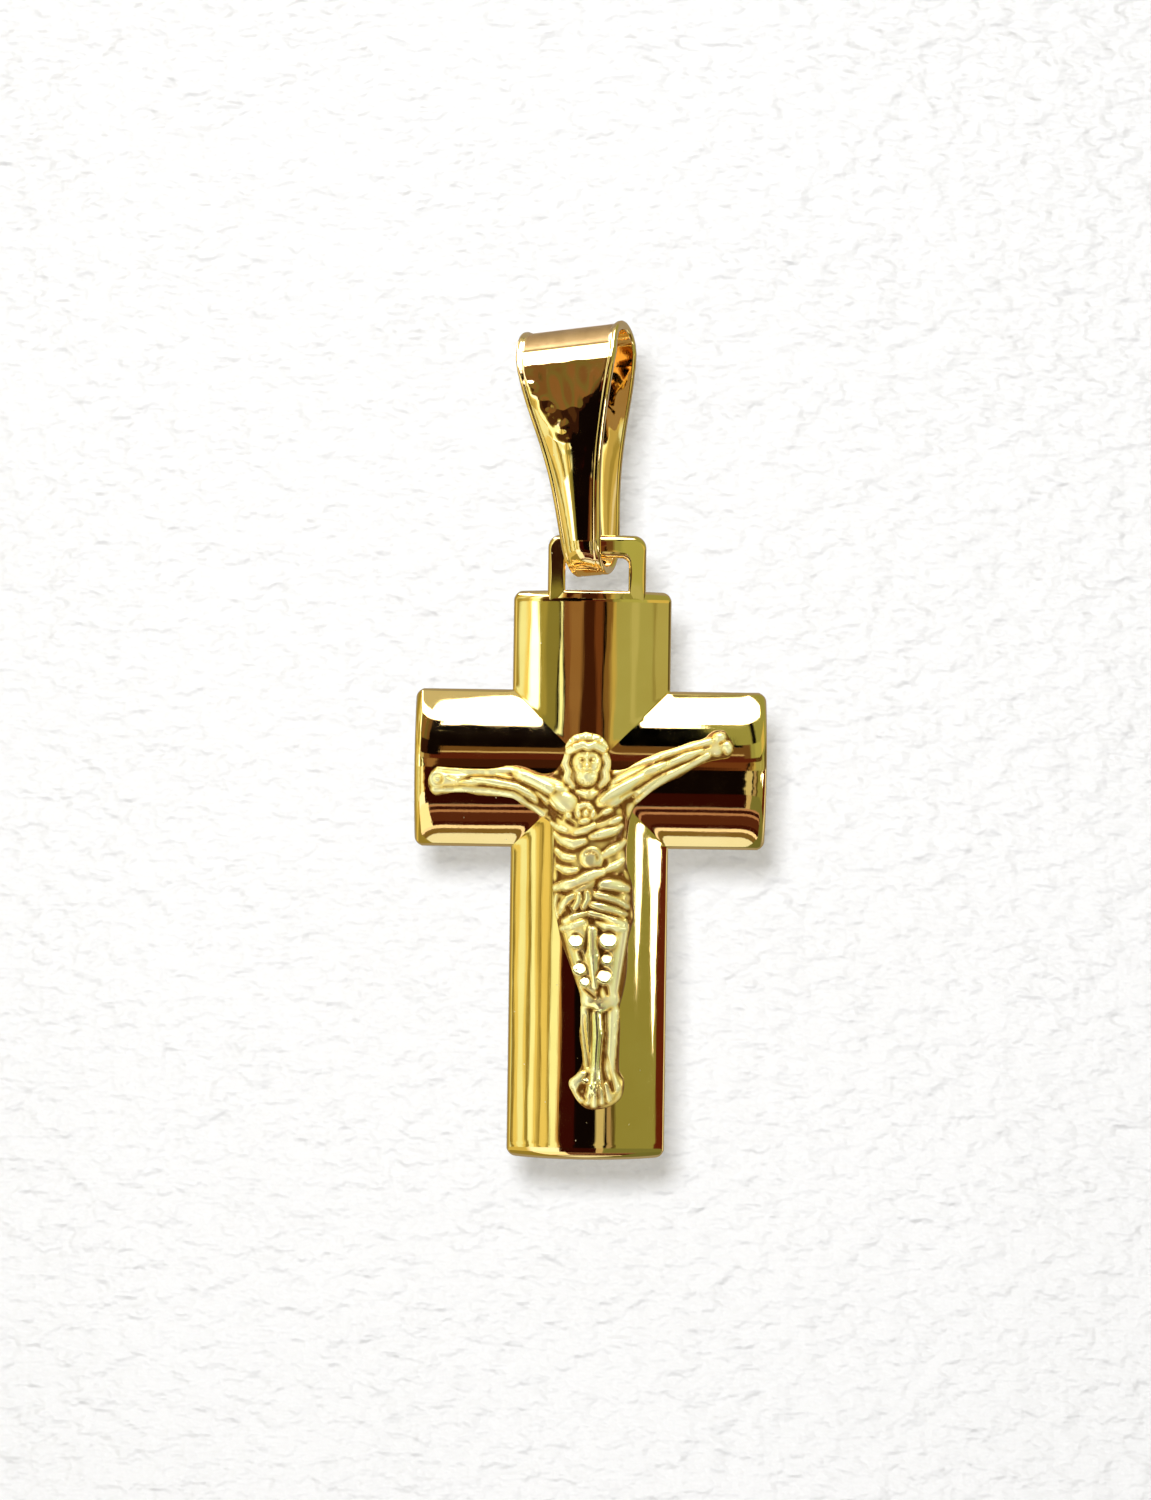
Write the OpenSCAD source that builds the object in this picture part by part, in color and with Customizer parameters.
// Crucifix pendant: a domed, hollow cross with a cast figure, hung in a folded strap bail.
// Millimetres. +Z is up, +X is to the viewer's right, and the front faces -Y.
// The origin is the centre of the bail's eye, where a chain passes.

/* [Cross] */
// Width over both side arms
cross_w = 14; // [11:0.1:18]
// Length of the upright, from its shoulders to its foot
cross_h = 22.6; // [18:0.1:30]
// Width of each bar
bar_w = 6.3; // [4.5:0.1:7.5]
// Distance from the shoulders down to the middle of the side arms
arm_drop = 7.1; // [5.5:0.1:9]
// Thickness at the ridge of the dome
cross_t = 2; // [1.6:0.05:3]
// Radius of the dome across a bar
dome_r = 4.6; // [4.2:0.1:9]
// Radius of the rounded front edge along a bar
edge_r = 0.4; // [0.3:0.05:0.6]
// Radius of the rounded front edge at a bar's end
end_r = 0.45; // [0.35:0.05:0.7]
// Radius of a bar's corners, seen from the front
corner_r = 0.5; // [0.4:0.05:0.9]
// Thickness of the pressed sheet
sheet_t = 0.3; // [0.2:0.02:0.34]

/* [Ear] */
// Width of the ear
ear_w = 3.9; // [3.6:0.1:4.8]
// Height of the ear above the shoulders
ear_h = 2.2; // [2:0.05:2.8]
// Thickness of the ear
ear_t = 0.6; // [0.4:0.05:0.7]
// Width of the ear's window
window_w = 2.5; // [2.3:0.05:2.8]
// Height of the bar above the window
bar_h = 0.92; // [0.6:0.02:1]
// Radius of the ear's outer corners
ear_corner_r = 0.5; // [0.2:0.05:0.8]
// How far the ear sits to the right of the upright's middle
ear_shift = 0.15; // [0:0.05:0.3]

/* [Bail] */
// Distance from the middle of the eye to the middle of the bottom fold
bail_l = 7.5; // [6:0.05:10]
// Width of the strap at the eye
strap_top_w = 4.25; // [3:0.05:5]
// Width of the strap at the bottom of its fold
strap_foot_w = 1.3; // [1:0.05:1.6]
// How far the strap's taper is drawn in at its middle, as a share
strap_waist = 0.16; // [0:0.01:0.2]
// Thickness of the strap
strap_t = 0.32; // [0.22:0.02:0.4]
// Outer radius of the top roll
roll_r = 1.22; // [1.15:0.01:1.5]
// Outer radius of the bottom fold
fold_r = 1.17; // [1.12:0.01:1.24]
// How far each leaf bows outwards below the roll
belly_h = 0.25; // [0:0.01:0.4]
// Height of each leaf's rounded front across its width
bulge_h = 0.28; // [0:0.02:0.5]
// Turn of the hanging bail, its right side towards the viewer
bail_yaw = 22; // [0:1:24]
// Lean of the hanging bail, its top to the left
bail_lean = 5; // [0:0.5:6]
// How far the cross swings to the front and to the back in the fold, in degrees
swing_max = 70; // [30:1:75]
// Gap between the fold and the left side of the window when the cross is swung that far
fold_gap = 0.03; // [0.02:0.01:0.1]

/* [Figure] */
// Height from the crown of the head to the toes
figure_h = 14.9; // [12:0.1:18]
// Width over both hands
figure_w = 11.9; // [9:0.1:13]
// Width of the chest
chest_w = 3.1; // [2.4:0.05:3.8]
// Height of the relief at its highest
relief_h = 1.5; // [1:0.05:2]
// Height of the crown above the middle of the side arms
crown_h = 1.45; // [1:0.05:2]
// Radius of the two pegs behind the figure
peg_r = 0.3; // [0.2:0.02:0.4]
// How far the pegs stand out of the figure's back
peg_l = 0.6; // [0.4:0.05:0.8]
// Gap between the figure and the dome, and round each peg
seat_gap = 0.03; // [0.02:0.01:0.06]

/* [Hidden] */
$fn = 96;

// Small overlap, so that solids that are joined share no face
overlap = 0.2;

// Places that follow from the sizes above
fold_x = bail_l * sin(bail_lean);
fold_z = -bail_l * cos(bail_lean);
fold_line_r = fold_r - strap_t / 2;
fold_room = strap_half(-bail_l - fold_line_r * cos(swing_max)) / cos(bail_yaw) + ear_t / 2 * tan(bail_yaw);
fold_slide = window_w / 2 - fold_room - fold_gap;
ear_x = fold_x + fold_slide;
cross_x = ear_x - ear_shift;
ear_top_z = fold_z + bar_h / 2;
shoulder_z = ear_top_z - ear_h;
arm_z = shoulder_z - arm_drop;
foot_z = shoulder_z - cross_h;
ridge_y = -ear_t / 2;
back_y = ridge_y + cross_t;

// The strap as a grid: stations round the loop and points across the width
roll_steps = 16;
leaf_steps = 14;
cross_steps = 8;
// Extra metal inside the roll and the fold, which their round cuts take off again
fold_skin = 0.02;

// The figure's back plane, and where its table of rows starts
figure_y = ridge_y - seat_gap;
crown_z = arm_z + crown_h;
round_steps = 12;

// Body of the figure, from the shoulders to the toes. Columns: distance below the crown as a share of
// figure_h, offset and half width as shares of half of chest_w, depth as a share of relief_h, and the
// depth of the middle groove as a share of the row's depth.
body_rows = [
    [0.152, -0.04, 0.34, 0.46, 0.00],
    [0.172, -0.04, 0.74, 0.60, 0.00],
    [0.195, 0.00, 0.96, 0.72, 0.04],
    [0.225, 0.02, 1.00, 0.80, 0.10],
    [0.272, 0.03, 0.93, 0.78, 0.08],
    [0.305, 0.02, 0.93, 0.70, 0.04],
    [0.347, 0.01, 0.94, 0.64, 0.00],
    [0.368, 0.04, 0.97, 0.66, 0.00],
    [0.378, 0.06, 0.99, 0.82, 0.00],
    [0.409, 0.10, 1.03, 0.90, 0.00],
    [0.449, 0.13, 1.00, 0.94, 0.04],
    [0.489, 0.18, 0.98, 0.90, 0.08],
    [0.516, 0.17, 0.95, 0.80, 0.16],
    [0.551, 0.16, 0.87, 0.82, 0.22],
    [0.607, 0.26, 0.75, 0.92, 0.24],
    [0.664, 0.33, 0.63, 0.96, 0.22],
    [0.693, 0.36, 0.54, 0.78, 0.18],
    [0.720, 0.33, 0.49, 0.70, 0.17],
    [0.758, 0.34, 0.50, 0.64, 0.16],
    [0.798, 0.32, 0.52, 0.60, 0.15],
    [0.870, 0.37, 0.48, 0.50, 0.12],
    [0.905, 0.31, 0.54, 0.50, 0.10],
    [0.921, 0.26, 0.70, 0.54, 0.08],
    [0.954, 0.28, 0.65, 0.60, 0.06],
    [0.983, 0.27, 0.44, 0.46, 0.00],
    [1.000, 0.23, 0.16, 0.25, 0.00]
];

// Head and neck of the figure, with the same columns but no groove
head_rows = [
    [0.000, -0.12, 0.18, 0.52],
    [0.010, -0.12, 0.40, 0.74],
    [0.034, -0.12, 0.56, 0.92],
    [0.065, -0.11, 0.58, 0.99],
    [0.100, -0.10, 0.54, 1.00],
    [0.130, -0.08, 0.44, 0.97],
    [0.148, -0.06, 0.30, 0.88],
    [0.158, -0.04, 0.29, 0.60],
    [0.200, 0.00, 0.34, 0.55]
];

// Arms and shoulders, from the left hand to the right. Columns: place across as a share of half of
// figure_w, height above the arms' middle, half thickness and depth as shares of relief_h.
arm_rows = [
    [-1.079, -0.37, 0.06, 0.24],
    [-1.062, -0.36, 0.20, 0.38],
    [-1.030, -0.35, 0.34, 0.44],
    [-0.970, -0.32, 0.33, 0.42],
    [-0.860, -0.31, 0.30, 0.38],
    [-0.760, -0.33, 0.33, 0.42],
    [-0.660, -0.35, 0.36, 0.44],
    [-0.524, -0.31, 0.42, 0.48],
    [-0.447, -0.43, 0.50, 0.52],
    [-0.380, -0.57, 0.53, 0.56],
    [-0.300, -0.67, 0.53, 0.60],
    [0.000, -0.63, 0.50, 0.62],
    [0.235, -0.53, 0.54, 0.60],
    [0.300, -0.41, 0.56, 0.58],
    [0.380, -0.18, 0.50, 0.54],
    [0.464, 0.01, 0.45, 0.50],
    [0.551, 0.14, 0.41, 0.46],
    [0.655, 0.33, 0.37, 0.42],
    [0.751, 0.50, 0.32, 0.38],
    [0.807, 0.62, 0.37, 0.42],
    [0.880, 0.67, 0.36, 0.44],
    [0.916, 0.59, 0.26, 0.38],
    [0.956, 0.52, 0.07, 0.24]
];

// Where the pegs stand, as shares of figure_h below the crown and of half of chest_w
peg_rows = [[0.288, 0.06], [0.955, 0.26]];

// A rectangle with round corners, centred on the origin
module rounded_rect(w, h, r) {
    square([w - 2 * r, h], center = true);
    square([w, h - 2 * r], center = true);
    for (x = [-1, 1], y = [-1, 1])
        translate([x * (w / 2 - r), y * (h / 2 - r)]) circle(r = r);
}

// A bar's cross-section: a flat back on y = 0, straight rims, rounded edges and a domed top
module bar_profile(w, t, r_dome, r_edge) {
    dome_y = t - r_dome;
    edge_x = w / 2 - r_edge;
    edge_y = dome_y + sqrt(pow(r_dome - r_edge, 2) - pow(edge_x, 2));
    reach = r_dome / (r_dome - r_edge);
    touch_x = edge_x * reach;
    touch_y = dome_y + (edge_y - dome_y) * reach;
    translate([-w / 2, 0]) square([w, edge_y]);
    for (side = [-1, 1])
        translate([side * edge_x, edge_y]) circle(r = r_edge);
    intersection() {
        translate([0, dome_y]) circle(r = r_dome);
        polygon([
            [-edge_x, edge_y], [-touch_x, touch_y], [-touch_x, t + r_edge],
            [touch_x, t + r_edge], [touch_x, touch_y], [edge_x, edge_y]
        ]);
    }
}

// A bar's side view: a block with its two front corners rounded
module end_profile(l, t, r) {
    translate([0, t / 4]) square([l, t / 2], center = true);
    translate([0, t / 2]) rounded_rect(l, t, r);
}

// A domed bar along Z, centred on the origin, its back on y = 0 and its dome towards -Y.
// inset shrinks it on every side, for the hollow inside.
module domed_bar(l, inset) {
    w = bar_w - 2 * inset;
    len = l - 2 * inset;
    t = cross_t - 2 * inset;
    edge = max(edge_r - inset, 0.05);
    end = max(end_r - inset, 0.05);
    corner = max(corner_r - inset, 0.05);
    translate([0, -inset, 0]) mirror([0, 1, 0]) intersection() {
        linear_extrude(len, center = true) bar_profile(w, t, dome_r - inset, edge);
        rotate([90, 0, 90]) linear_extrude(w + 1, center = true)
            rotate(90) mirror([0, 1]) end_profile(len, t, end);
        translate([0, t / 2, 0]) rotate([90, 0, 0])
            linear_extrude(t + 1, center = true) rounded_rect(w, len, corner);
    }
}

// Both bars of the cross in their places
module crossed_bars(inset) {
    translate([cross_x, back_y, (shoulder_z + foot_z) / 2]) domed_bar(cross_h, inset);
    translate([cross_x, back_y, arm_z]) rotate([0, 90, 0]) domed_bar(cross_w, inset);
}

// The ear: a plate with the dome's front face, two posts and a rounded bar above the window
module ear() {
    root = overlap + end_r;
    intersection() {
        translate([ear_x, 0, shoulder_z - root]) rotate([90, 0, 0])
            linear_extrude(2 * cross_t, center = true)
            translate([0, (ear_h + root) / 2]) rounded_rect(ear_w, ear_h + root, ear_corner_r);
        translate([cross_x, ridge_y + dome_r, shoulder_z]) cylinder(r = dome_r, h = 3 * ear_h, center = true);
        union() {
            translate([ear_x, 0, fold_z]) rotate([90, 0, 90])
                linear_extrude(ear_w, center = true) rounded_rect(ear_t, bar_h, ear_t * 0.45);
            for (side = [-1, 1])
                translate([ear_x + side * (ear_w + window_w) / 4, 0, fold_z - (ear_h + root) / 2])
                    cube([(ear_w - window_w) / 2, ear_t, ear_h + root], center = true);
            translate([ear_x, 0, shoulder_z - root / 2]) cube([ear_w, ear_t, root], center = true);
        }
    }
}

// Domed shell, back plate and ear in one solid, with a hole through the dome for each peg
module cross() color([0.86, 0.66, 0.26]) difference() {
    union() {
        crossed_bars(0);
        ear();
    }
    crossed_bars(sheet_t);
    for (row = peg_rows)
        translate([cross_x + row[1] * chest_w / 2, ridge_y + cross_t / 2, crown_z - row[0] * figure_h])
            rotate([90, 0, 0]) cylinder(r = peg_r + seat_gap, h = cross_t);
}

// Turns the strap's own frame, whose origin is the eye, into the hanging one
module hung() rotate([0, -bail_lean, 0]) rotate([0, 0, -bail_yaw]) children();

// The middle line of the strap seen from the side, as [y, z, normal y, normal z, bulge share, skin
// share]. s is 1 at the top of a leaf and 0 at its bottom.
function arc_station(centre_z, r, a) = [-r * cos(a), centre_z + r * sin(a), -cos(a), sin(a), 0, 1];
function leaf_station(side, s) =
    let (r = fold_r + (roll_r - fold_r) * s + belly_h * pow(sin(180 * pow(1 - s, 0.45)), 2))
    [side * (r - strap_t / 2), -bail_l * (1 - s), side, 0, pow(sin(180 * s), 0.6), 0];
strap_line = concat(
    [for (i = [0:roll_steps]) arc_station(0, roll_r - strap_t / 2, 180 * i / roll_steps)],
    [for (i = [1:leaf_steps - 1]) leaf_station(1, 1 - i / leaf_steps)],
    [for (i = [0:roll_steps]) arc_station(-bail_l, fold_line_r, 180 + 180 * i / roll_steps)],
    [for (i = [1:leaf_steps - 1]) leaf_station(-1, i / leaf_steps)]
);

// Half of the strap's width at a height below the eye
function strap_half(z) =
    let (s = min(1, (z + bail_l + fold_r) / (bail_l + fold_r)))
    (strap_foot_w + (strap_top_w - strap_foot_w) * (s - strap_waist * pow(sin(180 * s), 2))) / 2;

// One point of the strap: side is 1 on the outer face and -1 on the inner one
function strap_point(st, v, side) =
    let (half_t = strap_t / 2 + (side < 0 ? fold_skin * st[5] : 0))
    let (out = side * half_t + bulge_h * st[4] * (1 - v * v))
    [v * strap_half(st[1]), st[0] + out * st[2], st[1] + out * st[3]];

// The number of a strap point: station i, place j across, face k (0 outer, 1 inner)
function at(i, j, k) = ((i % len(strap_line)) * (cross_steps + 1) + j) * 2 + k;

// The folded strap before its round cuts: outer face, inner face and the two cut edges
module strap() {
    n = len(strap_line);
    m = cross_steps + 1;
    points = [
        for (i = [0:n - 1], j = [0:cross_steps], k = [0, 1])
            strap_point(strap_line[i], 1 - 2 * j / cross_steps, 1 - 2 * k)
    ];
    faces = concat(
        [for (i = [0:n - 1], j = [0:m - 2]) each [
            [at(i, j, 0), at(i, j + 1, 0), at(i + 1, j, 0)],
            [at(i, j + 1, 0), at(i + 1, j + 1, 0), at(i + 1, j, 0)],
            [at(i, j, 1), at(i + 1, j, 1), at(i, j + 1, 1)],
            [at(i, j + 1, 1), at(i + 1, j, 1), at(i + 1, j + 1, 1)]
        ]],
        [for (i = [0:n - 1]) each [
            [at(i, 0, 0), at(i + 1, 0, 0), at(i, 0, 1)],
            [at(i, 0, 1), at(i + 1, 0, 0), at(i + 1, 0, 1)],
            [at(i, m - 1, 0), at(i, m - 1, 1), at(i + 1, m - 1, 0)],
            [at(i, m - 1, 1), at(i + 1, m - 1, 1), at(i + 1, m - 1, 0)]
        ]]
    );
    polyhedron(points = points, faces = faces);
}

// The strap with a true round inside in its roll, for the chain, and in its fold, for the ear
module bail() color([0.84, 0.62, 0.30]) hung() difference() {
    strap();
    rotate([0, 90, 0]) cylinder(r = roll_r - strap_t, h = 2 * strap_top_w, center = true);
    translate([0, 0, -bail_l]) rotate([0, 90, 0])
        cylinder(r = fold_r - strap_t, h = 2 * strap_top_w, center = true);
}

// A closed solid through rings of points, all with the same number of points
module loft(rings) {
    n = len(rings);
    m = len(rings[0]);
    points = [for (ring = rings) each ring];
    faces = concat(
        [[for (j = [0:m - 1]) j]],
        [[for (j = [m - 1:-1:0]) (n - 1) * m + j]],
        [for (i = [0:n - 2], j = [0:m - 1])
            let (a = i * m + j, b = i * m + (j + 1) % m)
            each [[a, a + m, b], [b, a + m, b + m]]]
    );
    polyhedron(points = points, faces = faces);
}

// The depth of a row's middle groove
function cleft(row) = len(row) > 4 ? row[4] : 0;

// A level ring with a flat back and a round front, for the body and the head
function level_ring(row, back) = [
    for (i = [0:round_steps])
        let (a = 180 * i / round_steps)
        [
            cross_x + (row[1] + row[2] * cos(a)) * chest_w / 2,
            back - row[3] * relief_h * sin(a) * (1 - cleft(row) * max(0, 1 - 3 * abs(cos(a)))),
            crown_z - row[0] * figure_h
        ]
];

// An upright ring with a flat back and a round front, for the arms
function upright_ring(row, back) = [
    for (i = [0:round_steps])
        let (a = 180 * i / round_steps)
        [
            cross_x + row[0] * figure_w / 2,
            back - row[3] * relief_h * sin(a),
            arm_z + (row[1] + row[2] * cos(a)) * relief_h
        ]
];

// The cast figure with its two pegs
module corpus() color([0.90, 0.78, 0.42]) {
    loft([for (row = body_rows) level_ring(row, figure_y)]);
    loft([for (row = head_rows) level_ring(row, figure_y - seat_gap)]);
    loft([for (row = arm_rows) upright_ring(row, figure_y - seat_gap / 2)]);
    for (row = peg_rows)
        translate([cross_x + row[1] * chest_w / 2, figure_y + peg_l, crown_z - row[0] * figure_h])
            rotate([90, 0, 0]) cylinder(r = peg_r, h = peg_l + relief_h / 4);
}

bail();
cross();
corpus();
